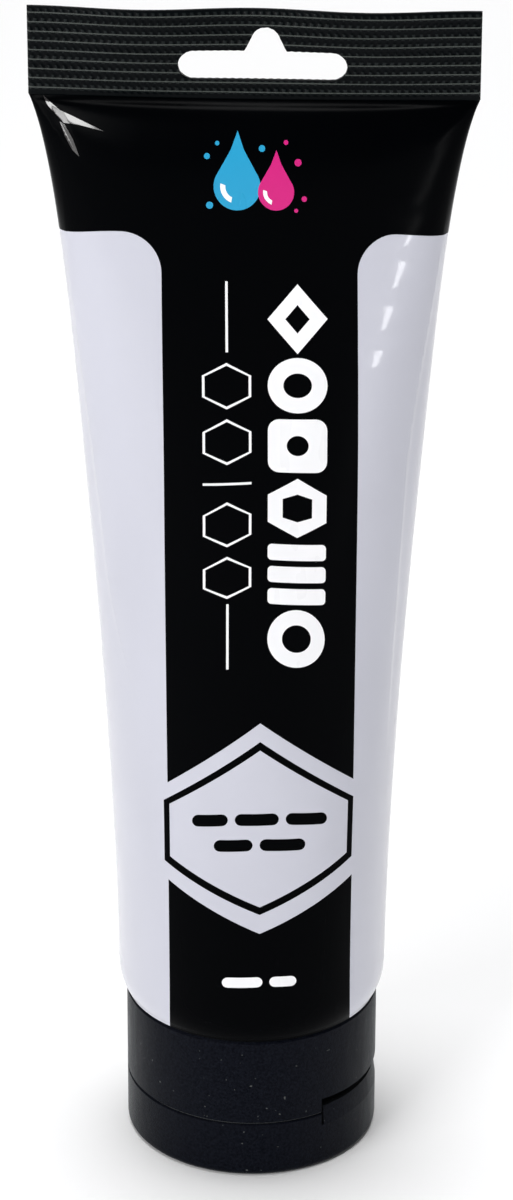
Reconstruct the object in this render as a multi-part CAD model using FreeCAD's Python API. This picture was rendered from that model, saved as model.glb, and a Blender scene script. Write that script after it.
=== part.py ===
"""Paint tube with a screw-on flip-top cap, standing on its lid.

Units are millimetres. +Z runs up the tube, X runs along the flat tail seal and -Y is the printed front.
The origin is the centre of the lid's flat outer face, which is what the tube stands on.
From the floor up: flip lid, cap base, tube head with its threaded neck, sleeve, tail seal.
"""
import FreeCAD, Part
import math
import os

# ---- sleeve and tail seal ----
TUBE_RADIUS = 20.0
SLEEVE_WALL = 0.45
SLEEVE_BOTTOM = 23.4
SHRINK_TOP = 29.4          # below this height the sleeve is shrunk in over the tube head
SHRINK_INSET = 1.15
SEAL_BOTTOM = 164.2
SEAL_TOP = 177.0
SEAL_WIDTH = 62.7          # half of the sleeve's round circumference, less the fold at each edge
SEAL_THICKNESS = 2 * SLEEVE_WALL
SECTION_POINTS = 72
SLEEVE_SPANS = 14
SHRINK_SPANS = 5

# ---- crimp ribs and hang slot ----
RIB_COUNT = 9
RIB_PITCH = 1.32
RIB_DEPTH = 0.22
SLOT_LENGTH = 23.4
SLOT_HEIGHT = 4.2
SLOT_BOTTOM = 166.75
SLOT_OFFSET = 1.2          # the slot is punched a little to the right of the middle
SLOT_DOME_RADIUS = 2.05
SLOT_DOME_TOP = 174.5
SLOT_DOME_FOOT = 2.95        # half width where the dome's flared sides meet the slot
SLOT_DOME_OFFSET = 0.4

# ---- tube head ----
HEAD_PLATE = 1.3
HEAD_RIM_TOP = 28.4
HEAD_RIM_WALL = 0.9
HEAD_GAP = 0.05
NECK_RADIUS = 8.5
NECK_BORE = 6.9
NECK_END = 10.2
NECK_FILLET = 0.8

# ---- screw thread, one start, right-handed ----
THREAD_PITCH = 3.2
THREAD_TURNS = 1.9
THREAD_START = 12.0        # height of the lower end of the neck's thread
THREAD_CREST = 9.45        # outer radius of the neck's thread
CAP_THREAD_CREST = 8.85    # inner radius of the cap's thread
THREAD_ROOT_WIDTH = 1.5
THREAD_CREST_WIDTH = 0.7
THREAD_BITE = 0.3          # how far a thread rib runs into the wall that carries it

# ---- cap base ----
CAP_RADIUS = 18.85
CAP_WALL = 1.65
CAP_TOP = 23.1
CAP_EDGE = 0.3
SPLIT_HEIGHT = 9.0         # where the lid meets the cap base
SPLIT_GAP = 0.15
SPLIT_EDGE = 0.2
DECK_BOTTOM = 8.0
DECK_TOP = 9.6
DECK_RADIUS = 16.7
COLLAR_BORE = 9.75
COLLAR_WALL = 1.5
COLLAR_TOP = 22.3
LAND_RADIUS = 7.7          # ring that presses the foil on the neck's rim
LAND_WIDTH = 0.8
LAND_TOP = 9.9
RIB_WALL = 0.9
RIB_TOP = 17.0
CAP_RIB_COUNT = 8
SNAP_PROUD = 0.18
SNAP_HEIGHT = 0.5

# ---- spout and its plug ----
SPOUT_TIP = 5.6
SPOUT_TIP_RADIUS = 2.9
SPOUT_FOOT_RADIUS = 3.7
ORIFICE_RADIUS = 2.0
ORIFICE_TOP = 7.3
SPOUT_MOUTH_RADIUS = 4.6
PLUG_FOOT_RADIUS = 1.95
PLUG_TIP_RADIUS = 1.35
PLUG_TIP = 7.4
PLUG_SHOULDER = 7.0
PLUG_CORE_RADIUS = 0.8
PLUG_FIN_COUNT = 6
PLUG_FIN_REACH = 4.6
PLUG_FIN_TOP = 3.4
PLUG_FIN_WALL = 0.7

# ---- lid ----
LID_PLATE = 1.4
LID_CORNER = 0.9
GATE_RADIUS = 1.6
GATE_DEPTH = 0.35

# ---- thumb pocket and living hinge ----
THUMB_ANGLE = 66.0         # from the printed front towards +X
POCKET_HALF_ANGLE = 32.0
POCKET_RADIUS = 17.75       # wall behind the lid's lip
POCKET_TOP = 11.5
POCKET_ROOF_DIP = 0.25      # the roof hangs this much lower in the middle than at its ends
POCKET_BOTTOM = 6.9
FINGER_GAP_RADIUS = 16.3    # back of the gap between the lip and the roof
FINGER_GAP_FLOOR = 9.7
FINGER_GAP_WALL = 0.8
LIP_GROOVE_ANGLE = 1.6      # open groove at each end of the lip, in degrees
LIP_INNER_RADIUS = 17.9
LIP_TOP_RADIUS = 18.45
LIP_TOP = 9.95
HINGE_FLAT = 17.9          # distance of the flat behind the hinge from the tube's axis
HINGE_FLAT_BOTTOM = 5.4
HINGE_FLAT_TOP = 12.6
STRAP_THICKNESS = 0.35
STRAP_BOTTOM = 6.6
STRAP_TOP = 11.4
STRAP_INNER = 2.3
STRAP_OUTER = 4.5
SPRING_HALF_WIDTH = 1.5
SPRING_BOTTOM = 6.0
SPRING_TOP = 12.0

# ---- foil and paint ----
FOIL_RADIUS = 8.4
FOIL_BOTTOM = 10.03
FOIL_TOP = 10.17
TAB_RADIUS = 7.9
TAB_BOTTOM = 9.94
TAB_TONGUE_WIDTH = 5.0
TAB_TONGUE_REACH = 9.2
PAINT_GAP = 0.1
PAINT_TOP = 129.1          # level of a 120 ml fill

UP = FreeCAD.Vector(0, 0, 1)
OUT = "parts"


def vec(x, y, z):
    return FreeCAD.Vector(x, y, z)


def ring(outer, inner, bottom, top):
    """Flat ring, or a disc when inner is 0."""
    solid = Part.makeCylinder(outer, top - bottom, vec(0, 0, bottom))
    if inner > 0:
        solid = solid.cut(Part.makeCylinder(inner, top - bottom, vec(0, 0, bottom)))
    return solid


def revolved(outline, start=0.0, sweep=360.0):
    """Solid of revolution about Z from (radius, height) points, starting at an angle from +X."""
    points = [vec(r, 0, z) for r, z in outline]
    face = Part.Face(Part.makePolygon(points + points[:1]))
    solid = face.revolve(vec(0, 0, 0), UP, sweep)
    solid.rotate(vec(0, 0, 0), UP, start)
    return solid


def turned(shape, degrees):
    """Copy of a shape turned about Z."""
    copy = shape.copy()
    copy.rotate(vec(0, 0, 0), UP, degrees)
    return copy


def facing(shape, angle_from_front):
    """Turn a shape that was drawn facing +X so that it faces an angle from the printed front towards +X."""
    return turned(shape, angle_from_front - 90.0)


# ---- the sleeve's sections ----

def sleeve_share(z):
    """0 at the tail seal and 1 where the sleeve is round."""
    return (SEAL_BOTTOM - z) / (SEAL_BOTTOM - SHRINK_TOP)


def half_width(share):
    """Half of the sleeve's width along X. It widens slowly, then quickly close under the seal."""
    spread = (1 - share) ** 1.45 * (1 - 0.27 * share / (share + 0.07))
    return TUBE_RADIUS + (SEAL_WIDTH / 2 - TUBE_RADIUS) * spread


def squareness(share):
    """Superellipse exponent: 2 is an ellipse, and more is flatter in front with tighter edges."""
    return 2.0 + 0.8 * (1 - share) ** 3


def section_points(a, b, exponent, count):
    """Points of a superellipse at equal steps along its outline, from (a, 0) and counter-clockwise."""
    fine = 16 * count
    raw = []
    for k in range(fine + 1):
        angle = 2 * math.pi * k / fine
        c, s = math.cos(angle), math.sin(angle)
        raw.append((math.copysign(a * abs(c) ** (2 / exponent), c),
                    math.copysign(b * abs(s) ** (2 / exponent), s)))
    length = [0.0]
    for p, q in zip(raw, raw[1:]):
        length.append(length[-1] + math.dist(p, q))
    points, k = [], 0
    for step in range(count):
        goal = length[-1] * step / count
        while length[k + 1] < goal:
            k += 1
        part = (goal - length[k]) / (length[k + 1] - length[k])
        points.append(tuple(p + part * (q - p) for p, q in zip(raw[k], raw[k + 1])))
    return points, length[-1]


def half_depth(a, exponent):
    """Half of the sleeve's depth along Y, from the rule that the film's girth never changes."""
    low, high = 0.0, TUBE_RADIUS
    for _ in range(30):
        middle = (low + high) / 2
        girth = section_points(a, middle, exponent, SECTION_POINTS)[1]
        if girth < 2 * math.pi * TUBE_RADIUS:
            low = middle
        else:
            high = middle
    return max(low, SEAL_THICKNESS / 2)


def sleeve_section(z):
    """(half width, half depth, squareness) of the sleeve's outside at height z."""
    if z < SHRINK_TOP:
        radius = shrunk_radius(z)
        return radius, radius, 2.0
    share = sleeve_share(z)
    a, exponent = half_width(share), squareness(share)
    return a, half_depth(a, exponent), exponent


def shrunk_radius(z):
    """Outer radius of the sleeve where it is shrunk over the tube head."""
    below = max(0.0, (SHRINK_TOP - z) / (SHRINK_TOP - SLEEVE_BOTTOM))
    return TUBE_RADIUS - SHRINK_INSET * below ** 3


def sleeve_levels(bottom, top):
    """Heights of the lofted sections: close together under the seal and in the shrunk end."""
    round_height = SEAL_BOTTOM - SHRINK_TOP
    levels = [SEAL_BOTTOM - round_height * (k / SLEEVE_SPANS) ** 1.6 for k in range(SLEEVE_SPANS + 1)]
    shrink = SHRINK_TOP - SLEEVE_BOTTOM
    levels += [SHRINK_TOP - shrink * k / SHRINK_SPANS for k in range(1, SHRINK_SPANS + 1)]
    inside = [z for z in levels if bottom + 0.5 < z < top - 0.5]
    return [bottom] + sorted(inside) + [top]


def sleeve_solid(inset, bottom, top):
    """Loft of the sleeve's sections, drawn in by inset, between two heights."""
    wires = []
    for z in sleeve_levels(bottom, top):
        a, b, exponent = sleeve_section(z)
        flat, _ = section_points(a - inset, b - inset, exponent, SECTION_POINTS)
        curve = Part.BSplineCurve()
        curve.interpolate(Points=[vec(x, y, z) for x, y in flat], PeriodicFlag=True)
        wires.append(Part.Wire(curve.toShape()))
    return Part.makeLoft(wires, True, False)


def make_sleeve():
    """Printed film sleeve: round at the head, closing to the width of the seal."""
    void_top = SEAL_BOTTOM - 1.0
    outside = sleeve_solid(0.0, SLEEVE_BOTTOM, SEAL_BOTTOM)
    inside = sleeve_solid(SLEEVE_WALL, SLEEVE_BOTTOM, void_top)
    return outside.cut(inside)


def make_paint():
    """Paint that stands in the sleeve and in the neck bore, up to the foil."""
    body = sleeve_solid(SLEEVE_WALL + PAINT_GAP, SLEEVE_BOTTOM + HEAD_PLATE + PAINT_GAP, PAINT_TOP)
    room = shrunk_radius(SLEEVE_BOTTOM) - SLEEVE_WALL - HEAD_GAP - HEAD_RIM_WALL - PAINT_GAP
    rim_room = ring(TUBE_RADIUS + 1, room, SLEEVE_BOTTOM, HEAD_RIM_TOP + PAINT_GAP)
    neck = ring(NECK_BORE - PAINT_GAP, 0, NECK_END + PAINT_GAP, SLEEVE_BOTTOM + HEAD_PLATE + 1.0)
    return body.cut(rim_room).fuse(neck)


# ---- tail seal ----

def hang_slot():
    """Cutter for the hang slot: a long slot with round ends and a bell-shaped dome over its middle."""
    depth = 4.0
    end = SLOT_HEIGHT / 2
    half = SLOT_LENGTH / 2 - end
    middle = SLOT_BOTTOM + end
    slot = Part.makeBox(2 * half, depth, SLOT_HEIGHT, vec(SLOT_OFFSET - half, -depth / 2, SLOT_BOTTOM))
    for side in (-1, 1):
        round_end = vec(SLOT_OFFSET + side * half, -depth / 2, middle)
        slot = slot.fuse(Part.makeCylinder(end, depth, round_end, vec(0, 1, 0)))
    dome_x = SLOT_OFFSET + SLOT_DOME_OFFSET
    dome_centre = SLOT_DOME_TOP - SLOT_DOME_RADIUS
    slot_top = SLOT_BOTTOM + SLOT_HEIGHT
    flare_outline = [(-SLOT_DOME_FOOT, middle), (SLOT_DOME_FOOT, middle), (SLOT_DOME_FOOT, slot_top),
                     (SLOT_DOME_RADIUS, dome_centre), (-SLOT_DOME_RADIUS, dome_centre),
                     (-SLOT_DOME_FOOT, slot_top)]
    flare_corners = [vec(dome_x + x, -depth / 2, z) for x, z in flare_outline]
    flare = Part.Face(Part.makePolygon(flare_corners + flare_corners[:1])).extrude(vec(0, depth, 0))
    dome = Part.makeCylinder(SLOT_DOME_RADIUS, depth, vec(dome_x, -depth / 2, dome_centre), vec(0, 1, 0))
    return slot.fuse(flare).fuse(dome)


def make_tail_seal():
    """Welded end of the sleeve, crimped into level ribs by the sealing jaws."""
    wave = [(0.0, SEAL_BOTTOM)]
    first = (SEAL_BOTTOM + SEAL_TOP - RIB_COUNT * RIB_PITCH) / 2
    for k in range(RIB_COUNT):
        wave.append((0.0, first + k * RIB_PITCH))
        wave.append((-RIB_DEPTH, first + (k + 0.5) * RIB_PITCH))
    wave.append((0.0, first + RIB_COUNT * RIB_PITCH))
    wave.append((0.0, SEAL_TOP))
    half = SEAL_THICKNESS / 2
    outline = [vec(-SEAL_WIDTH / 2, y - half, z) for y, z in wave]
    outline += [vec(-SEAL_WIDTH / 2, y + half, z) for y, z in reversed(wave)]
    face = Part.Face(Part.makePolygon(outline + outline[:1]))
    fin = face.extrude(vec(SEAL_WIDTH, 0, 0))
    return fin.cut(hang_slot())


# ---- screw thread ----

def thread_rib(carrier_radius, crest_radius, bottom):
    """Helical rib with a trapezoid section. It stands out of, or into, a wall of the carrier radius."""
    outward = 1 if crest_radius > carrier_radius else -1
    foot = carrier_radius - outward * THREAD_BITE
    corners = [(foot, -THREAD_ROOT_WIDTH / 2), (crest_radius, -THREAD_CREST_WIDTH / 2),
               (crest_radius, THREAD_CREST_WIDTH / 2), (foot, THREAD_ROOT_WIDTH / 2)]
    points = [vec(r, 0, bottom + z) for r, z in corners]
    profile = Part.makePolygon(points + points[:1])
    helix = Part.makeHelix(THREAD_PITCH, THREAD_PITCH * THREAD_TURNS, carrier_radius)
    helix.translate(vec(0, 0, bottom))
    return Part.Wire(helix.Edges).makePipeShell([profile], True, True)


# ---- tube head ----

def make_tube_head():
    """Moulded shoulder plate with an upstanding rim inside the sleeve, and the threaded neck."""
    inner = SLEEVE_WALL + HEAD_GAP
    steps = 6
    heights = [SLEEVE_BOTTOM + (HEAD_RIM_TOP - SLEEVE_BOTTOM) * k / steps for k in range(steps + 1)]
    outside = [(shrunk_radius(z) - inner, z) for z in heights]
    rim_inside = shrunk_radius(SLEEVE_BOTTOM) - inner - HEAD_RIM_WALL
    plate_top = SLEEVE_BOTTOM + HEAD_PLATE
    profile = [(NECK_BORE, NECK_END), (NECK_RADIUS, NECK_END), (NECK_RADIUS, SLEEVE_BOTTOM - NECK_FILLET),
               (NECK_RADIUS + NECK_FILLET, SLEEVE_BOTTOM)]
    profile += outside
    profile += [(rim_inside, HEAD_RIM_TOP), (rim_inside, plate_top), (NECK_BORE, plate_top)]
    head = revolved(profile)
    return head.fuse(thread_rib(NECK_RADIUS, THREAD_CREST, THREAD_START)).removeSplitter()


# ---- foil over the neck ----

def make_foil():
    return ring(FOIL_RADIUS, 0, FOIL_BOTTOM, FOIL_TOP)


def make_pull_tab():
    """Half-moon film tab on the foil, with a tongue to pull."""
    disc = ring(TAB_RADIUS, 0, TAB_BOTTOM, FOIL_BOTTOM)
    half = Part.makeBox(2 * TAB_RADIUS, TAB_RADIUS, 1.0, vec(-TAB_RADIUS, -TAB_RADIUS, TAB_BOTTOM - 0.5))
    tongue = Part.makeBox(TAB_TONGUE_WIDTH, TAB_TONGUE_REACH - 1.0, FOIL_BOTTOM - TAB_BOTTOM,
                          vec(-TAB_TONGUE_WIDTH / 2, -TAB_TONGUE_REACH, TAB_BOTTOM))
    return disc.common(half).fuse(tongue).removeSplitter()


# ---- cap base ----

def thumb_segment(outline, half_angle=POCKET_HALF_ANGLE):
    """Ring segment centred on the thumb side."""
    start = THUMB_ANGLE - 90.0 - half_angle
    return revolved(outline, start, 2 * half_angle)


def pocket_roof():
    """Shallow bow that stays under the pocket's roof line, so that the roof dips towards its middle."""
    half_width = CAP_RADIUS * math.sin(math.radians(POCKET_HALF_ANGLE))
    radius = (half_width ** 2 + POCKET_ROOF_DIP ** 2) / (2 * POCKET_ROOF_DIP)
    centre = vec(POCKET_RADIUS - 4.0, 0, POCKET_TOP - POCKET_ROOF_DIP + radius)
    return facing(Part.makeCylinder(radius, 8.0, centre, vec(1, 0, 0)), THUMB_ANGLE)


def hinge_flat_cut():
    """Block outside the flat that the living hinge lies on, turned to the hinge side."""
    height = HINGE_FLAT_TOP - HINGE_FLAT_BOTTOM
    block = Part.makeBox(4.0, 16.0, height, vec(HINGE_FLAT, -8.0, HINGE_FLAT_BOTTOM))
    return facing(block, THUMB_ANGLE + 180.0)


def snap_bead(wall_radius, proud, height):
    """Small V-section bead round a wall. proud is positive outwards."""
    bite = 0.2 if proud > 0 else -0.2
    half = SNAP_HEIGHT / 2
    return revolved([(wall_radius - bite, height - half), (wall_radius, height - half),
                     (wall_radius + proud, height), (wall_radius, height + half),
                     (wall_radius - bite, height + half)])


def make_cap_base():
    """Outer skirt, deck with the spout, threaded collar and stiffening ribs, all one moulding."""
    bottom = SPLIT_HEIGHT + SPLIT_GAP / 2
    inner = CAP_RADIUS - CAP_WALL
    collar_outer = COLLAR_BORE + COLLAR_WALL
    skirt = revolved([(inner, bottom), (CAP_RADIUS - SPLIT_EDGE, bottom), (CAP_RADIUS, bottom + SPLIT_EDGE),
                      (CAP_RADIUS, CAP_TOP - CAP_EDGE), (CAP_RADIUS - CAP_EDGE, CAP_TOP), (inner, CAP_TOP)])
    deck = revolved([
        (ORIFICE_RADIUS, SPOUT_TIP), (SPOUT_TIP_RADIUS, SPOUT_TIP), (SPOUT_FOOT_RADIUS, DECK_BOTTOM),
        (DECK_RADIUS, DECK_BOTTOM), (DECK_RADIUS, bottom), (inner + 0.5, bottom), (inner + 0.5, DECK_TOP),
        (collar_outer, DECK_TOP), (collar_outer, COLLAR_TOP), (COLLAR_BORE, COLLAR_TOP),
        (COLLAR_BORE, DECK_TOP), (SPOUT_MOUTH_RADIUS, DECK_TOP), (ORIFICE_RADIUS, ORIFICE_TOP)])
    land = ring(LAND_RADIUS + LAND_WIDTH / 2, LAND_RADIUS - LAND_WIDTH / 2, DECK_TOP - 0.2, LAND_TOP)
    body = skirt.fuse(deck).fuse(land)
    rib = Part.makeBox(inner + 0.5 - collar_outer + 0.5, RIB_WALL, RIB_TOP - DECK_TOP + 0.5,
                       vec(collar_outer - 0.5, -RIB_WALL / 2, DECK_TOP - 0.5))
    for k in range(CAP_RIB_COUNT):
        body = body.fuse(turned(rib, 360.0 * k / CAP_RIB_COUNT + THUMB_ANGLE))
    body = body.fuse(snap_bead(DECK_RADIUS, SNAP_PROUD, DECK_BOTTOM + SNAP_HEIGHT / 2 + 0.05))
    body = body.fuse(thread_rib(COLLAR_BORE, CAP_THREAD_CREST, THREAD_START + THREAD_PITCH / 2))
    gap_back, gap_lid = FINGER_GAP_RADIUS - FINGER_GAP_WALL, POCKET_TOP + FINGER_GAP_WALL
    body = body.fuse(thumb_segment([(gap_back, DECK_TOP - 0.5), (inner + 0.5, DECK_TOP - 0.5),
                                    (inner + 0.5, gap_lid), (gap_back, gap_lid)], POCKET_HALF_ANGLE + 2.0))
    pocket = thumb_segment([(POCKET_RADIUS, DECK_TOP - 1.5), (CAP_RADIUS + 1, DECK_TOP - 1.5),
                            (CAP_RADIUS + 1, POCKET_TOP), (FINGER_GAP_RADIUS, POCKET_TOP),
                            (FINGER_GAP_RADIUS, FINGER_GAP_FLOOR), (POCKET_RADIUS, FINGER_GAP_FLOOR)])
    body = body.cut(pocket.cut(pocket_roof()))
    return body.cut(hinge_flat_cut()).removeSplitter()


# ---- lid ----

def make_lid():
    """Shallow cup with the plug that closes the spout, and a sloped thumb lip that stands up from its rim."""
    top = SPLIT_HEIGHT - SPLIT_GAP / 2
    inner = CAP_RADIUS - CAP_WALL
    corner_steps = 6
    profile = [(0, 0)]
    for k in range(corner_steps + 1):
        turn = k * math.pi / 2 / corner_steps
        radius = CAP_RADIUS - LID_CORNER * (1 - math.sin(turn))
        profile.append((radius, LID_CORNER * (1 - math.cos(turn))))
    profile += [(CAP_RADIUS, top - SPLIT_EDGE), (CAP_RADIUS - SPLIT_EDGE, top), (inner, top),
                (inner, LID_PLATE), (0, LID_PLATE)]
    body = revolved(profile)
    root = LID_PLATE - 0.2
    core_floor = LID_PLATE + 0.6
    plug = revolved([(0, root), (PLUG_FOOT_RADIUS + 0.4, root), (PLUG_FOOT_RADIUS, SPOUT_TIP - 0.4),
                     (PLUG_FOOT_RADIUS - 0.05, SPOUT_TIP), (PLUG_TIP_RADIUS + 0.25, PLUG_SHOULDER),
                     (PLUG_TIP_RADIUS, PLUG_TIP), (PLUG_CORE_RADIUS, PLUG_TIP),
                     (PLUG_CORE_RADIUS, core_floor), (0, core_floor)])
    body = body.fuse(plug)
    side = -PLUG_FIN_WALL / 2
    fin_corners = [vec(1.2, side, root), vec(PLUG_FIN_REACH, side, root), vec(1.2, side, PLUG_FIN_TOP)]
    fin = Part.Face(Part.makePolygon(fin_corners + fin_corners[:1])).extrude(vec(0, PLUG_FIN_WALL, 0))
    for k in range(PLUG_FIN_COUNT):
        body = body.fuse(turned(fin, 360.0 * k / PLUG_FIN_COUNT))
    body = body.fuse(snap_bead(inner, -SNAP_PROUD, top - SNAP_HEIGHT))
    body = body.cut(thumb_segment([(POCKET_RADIUS, top + 1), (POCKET_RADIUS, POCKET_BOTTOM),
                                   (CAP_RADIUS + 1, POCKET_BOTTOM), (CAP_RADIUS + 1, top + 1)]))
    lip_root = POCKET_RADIUS - 0.2
    body = body.fuse(thumb_segment([
        (lip_root, POCKET_BOTTOM - 0.2), (CAP_RADIUS, POCKET_BOTTOM - 0.2), (CAP_RADIUS, POCKET_BOTTOM),
        (LIP_TOP_RADIUS, LIP_TOP), (LIP_INNER_RADIUS, LIP_TOP), (LIP_INNER_RADIUS, top), (lip_root, top)],
        POCKET_HALF_ANGLE - LIP_GROOVE_ANGLE))
    body = body.cut(hinge_flat_cut())
    return body.cut(ring(GATE_RADIUS, 0, 0, GATE_DEPTH)).removeSplitter()


# ---- living hinge ----

def hinge_band(near, far, bottom, top):
    """Thin band on the hinge flat, from near to far along the flat, drawn facing +X."""
    band = Part.makeBox(STRAP_THICKNESS, far - near, top - bottom, vec(HINGE_FLAT, near, bottom))
    waist = STRAP_THICKNESS / 2
    outer = vec(HINGE_FLAT + STRAP_THICKNESS + 0.05, near, SPLIT_HEIGHT)
    notch = Part.makeCylinder(waist, far - near, outer, vec(0, 1, 0))
    return facing(band.cut(notch), THUMB_ANGLE + 180.0)


def build():
    """Every sub-part by the name of its node."""
    return {
        "tube_sleeve": make_sleeve(),
        "tail_seal": make_tail_seal(),
        "tube_head": make_tube_head(),
        "paint_fill": make_paint(),
        "foil_seal": make_foil(),
        "foil_pull_tab": make_pull_tab(),
        "cap_base": make_cap_base(),
        "cap_lid": make_lid(),
        "hinge_strap_left": hinge_band(-STRAP_OUTER, -STRAP_INNER, STRAP_BOTTOM, STRAP_TOP),
        "hinge_strap_right": hinge_band(STRAP_INNER, STRAP_OUTER, STRAP_BOTTOM, STRAP_TOP),
        "hinge_snap_spring": hinge_band(-SPRING_HALF_WIDTH, SPRING_HALF_WIDTH, SPRING_BOTTOM, SPRING_TOP),
    }


os.makedirs(OUT, exist_ok=True)
for name, shape in build().items():
    shape.exportStep(os.path.join(OUT, name + ".step"))
    print(f"{name:20s} valid {shape.isValid()} volume {shape.Volume / 1000:.2f} ml")
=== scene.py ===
"""Looks of a 120 ml paint tube that stands on its flip-top cap. The code works in mm, Blender in metres."""
import math

import bpy
import numpy as np
from mathutils import Matrix, Vector
from mathutils.geometry import delaunay_2d_cdt


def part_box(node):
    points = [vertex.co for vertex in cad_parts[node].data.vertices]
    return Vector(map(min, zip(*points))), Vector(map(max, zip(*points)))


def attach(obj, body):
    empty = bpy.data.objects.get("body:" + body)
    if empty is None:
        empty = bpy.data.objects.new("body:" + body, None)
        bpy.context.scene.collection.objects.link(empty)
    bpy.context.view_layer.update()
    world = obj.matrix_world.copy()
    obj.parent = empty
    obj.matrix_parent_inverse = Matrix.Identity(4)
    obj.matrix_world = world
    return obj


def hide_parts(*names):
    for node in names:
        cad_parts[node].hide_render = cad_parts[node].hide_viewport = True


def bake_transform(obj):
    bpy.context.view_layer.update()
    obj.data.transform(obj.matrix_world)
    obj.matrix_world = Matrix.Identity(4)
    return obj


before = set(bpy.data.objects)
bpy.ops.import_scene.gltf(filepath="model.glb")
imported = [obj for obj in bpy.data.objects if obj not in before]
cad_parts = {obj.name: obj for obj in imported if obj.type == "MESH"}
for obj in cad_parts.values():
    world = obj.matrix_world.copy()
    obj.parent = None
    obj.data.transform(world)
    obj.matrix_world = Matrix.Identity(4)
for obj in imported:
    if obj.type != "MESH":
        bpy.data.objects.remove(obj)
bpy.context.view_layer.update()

MM = 0.001


def box_mm(node):
    """Lowest and highest corner of a CAD node in mm."""
    return [[round(c / MM, 2) for c in corner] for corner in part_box(node)]


# ---- sizes of the CAD model that the skins follow ----
sleeve_low, sleeve_high = box_mm("tube_sleeve")
seal_low, seal_high = box_mm("tail_seal")
R = round((sleeve_high[1] - sleeve_low[1]) / 2, 1)
SLEEVE_LOW, SEAL_LOW, SEAL_HIGH = sleeve_low[2], sleeve_high[2], seal_high[2]
SEAL_HALF = (seal_high[0] - seal_low[0]) / 2
FILM = 0.45
SHRINK_TOP = SLEEVE_LOW + 6.0          # below this height the film is shrunk in over the tube head
SHRINK_INSET = 1.15
GIRTH = 2 * math.pi * R
strap_low, strap_high = box_mm("hinge_strap_left")
SPLIT = (strap_low[2] + strap_high[2]) / 2      # where the lid meets the cap base, half way up the hinge


# ======================================================================= meshes

def new_object(name, verts, faces, materials, face_material=None, normals=None):
    """Mesh object from mm coordinates. normals are one per vertex."""
    mesh = bpy.data.meshes.new(name)
    mesh.from_pydata((np.asarray(verts) * MM).tolist(), [], [tuple(int(i) for i in f) for f in faces])
    for material in materials:
        mesh.materials.append(material)
    if face_material is not None:
        mesh.polygons.foreach_set("material_index", np.asarray(face_material, dtype=np.int32))
    mesh.polygons.foreach_set("use_smooth", np.full(len(mesh.polygons), True))
    mesh.update()
    if normals is not None:
        mesh.normals_split_custom_set_from_vertices(np.asarray(normals).tolist())
    obj = bpy.data.objects.new(name, mesh)
    bpy.context.scene.collection.objects.link(obj)
    return obj


def triangulate(xs, ys, outlines, epsilon=1e-5):
    """Triangles of a rectangular grid of lines at xs and ys, cut exactly along closed outlines.

    Returns the vertices, the triangles, and for each triangle the set of outlines that it lies in."""
    nx, ny = len(xs), len(ys)
    verts = [Vector((x, y)) for y in ys for x in xs]
    edges = [(j * nx + i, j * nx + i + 1) for j in range(ny) for i in range(nx - 1)]
    edges += [(j * nx + i, (j + 1) * nx + i) for j in range(ny - 1) for i in range(nx)]
    faces = []
    for outline in outlines:
        first = len(verts)
        turns = sum(x0 * y1 - x1 * y0 for (x0, y0), (x1, y1) in zip(outline, outline[1:] + outline[:1]))
        verts += [Vector(p) for p in (outline if turns > 0 else outline[::-1])]
        faces.append(list(range(first, len(verts))))
    out = delaunay_2d_cdt(verts, edges, faces, 0, epsilon)
    flat = np.array([(v.x, v.y) for v in out[0]])
    return flat, np.array(out[2]), [set(o) for o in out[5]]


def arc(cx, cy, r, start, end, steps):
    """Points of an arc, angles in degrees."""
    out = []
    for k in range(steps + 1):
        angle = math.radians(start + (end - start) * k / steps)
        out.append((cx + r * math.cos(angle), cy + r * math.sin(angle)))
    return out


# ======================================================================= film surface

def smoothstep(low, high, x):
    t = np.clip((x - low) / (high - low), 0, 1)
    return t * t * (3 - 2 * t)


def outline_length(a, b, n, angles):
    x = np.sign(np.cos(angles)) * a * np.abs(np.cos(angles)) ** (2 / n)
    y = np.sign(np.sin(angles)) * b * np.abs(np.sin(angles)) ** (2 / n)
    return x, y, np.concatenate([[0], np.cumsum(np.hypot(np.diff(x), np.diff(y)))])


def section(z):
    """(half width, half depth, squareness) of the film at height z. Its girth is GIRTH above SHRINK_TOP."""
    if z < SHRINK_TOP:
        r = R - SHRINK_INSET * ((SHRINK_TOP - z) / (SHRINK_TOP - SLEEVE_LOW)) ** 3
        return r, r, 2.0
    s = min(1.0, max(0.0, (SEAL_LOW - z) / (SEAL_LOW - SHRINK_TOP)))
    a = R + (SEAL_HALF - R) * (1 - s) ** 1.45 * (1 - 0.27 * s / (s + 0.07))
    n = 2 + 0.8 * (1 - s) ** 3
    angles = np.linspace(0, 2 * math.pi, 1441)
    low, high = 0.0, R
    for _ in range(26):
        b = (low + high) / 2
        if outline_length(a, b, n, angles)[2][-1] < GIRTH:
            low = b
        else:
            high = b
    return a, max(low, FILM), n


ROWS = np.linspace(SLEEVE_LOW, SEAL_LOW, 181)
COLS = 720


def section_table():
    """x and y of the film for equal steps of girth from the middle of the front, at each height of ROWS."""
    table = np.zeros((len(ROWS), COLS, 2))
    angles = np.linspace(-0.5 * math.pi, 1.5 * math.pi, 5761)
    for k, z in enumerate(ROWS):
        a, b, n = section(z)
        x, y, length = outline_length(a, b, n, angles)
        want = np.arange(COLS) / COLS * length[-1]
        table[k, :, 0] = np.interp(want, length, x)
        table[k, :, 1] = np.interp(want, length, y)
    return table


TABLE = section_table()


def cubic_weights(t):
    t2, t3 = t * t, t * t * t
    return (-0.5 * t3 + t2 - 0.5 * t, 1.5 * t3 - 2.5 * t2 + 1,
            -1.5 * t3 + 2 * t2 + 0.5 * t, 0.5 * t3 - 0.5 * t2)


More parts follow.
